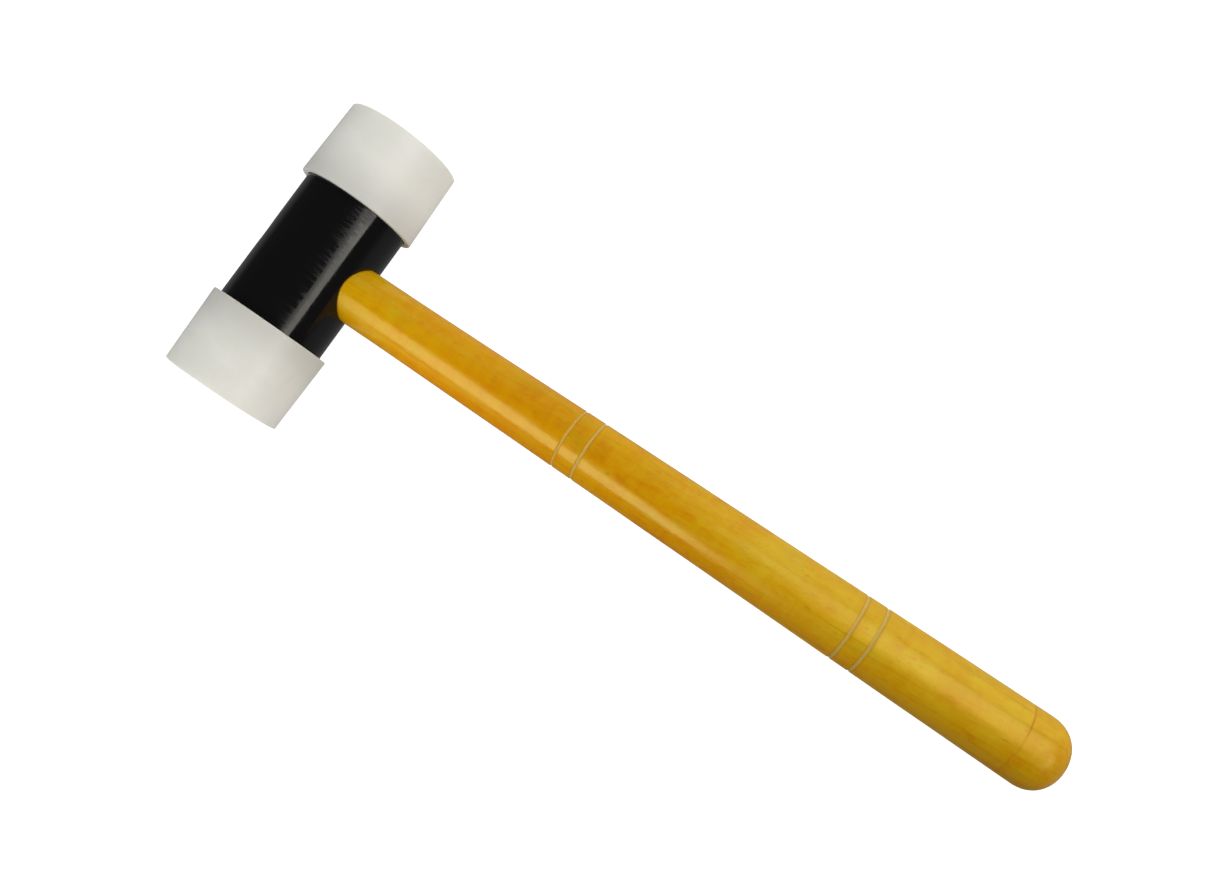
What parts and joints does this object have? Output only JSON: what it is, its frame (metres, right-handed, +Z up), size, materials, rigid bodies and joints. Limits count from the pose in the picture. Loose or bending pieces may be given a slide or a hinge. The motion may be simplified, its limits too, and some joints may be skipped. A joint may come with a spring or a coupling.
{
  "type": "rubber mallet",
  "caption": "Soft-faced mallet: short enamelled steel barrel, screw-in white nylon striking faces and a turned, varnished wooden handle wedged in a cross eye.",
  "frame": {"origin": "middle of the mallet's footprint, on the surface it lies on", "axes": "+X along the handle from the head to the handle's end, +Y along the head towards striking face a, +Z up"},
  "size_m": [0.3226, 0.1088, 0.045],
  "materials": {
    "black_enamel": "gloss",
    "milky_nylon": "satin",
    "zinc_steel": "satin",
    "varnished_wood": "gloss",
    "bare_wood": "matte",
    "bare_steel": "satin"
  },
  "bodies": {
    "hammer": {"head_barrel": "black_enamel", "handle": "varnished_wood", "handle_wood_wedge": "bare_wood", "handle_steel_wedge": "bare_steel"},
    "face_a": {"striking_face_a": "milky_nylon", "face_bolt_a": "zinc_steel"},
    "face_b": {"striking_face_b": "milky_nylon", "face_bolt_b": "zinc_steel"}
  },
  "joints": [
    {"name": "face_a_unscrew", "type": "slide", "parent": "hammer", "child": "face_a", "axis": [0, 1, 0], "range_m": [0, 0.015]},
    {"name": "face_b_unscrew", "type": "slide", "parent": "hammer", "child": "face_b", "axis": [0, -1, 0], "range_m": [0, 0.015]}
  ]
}
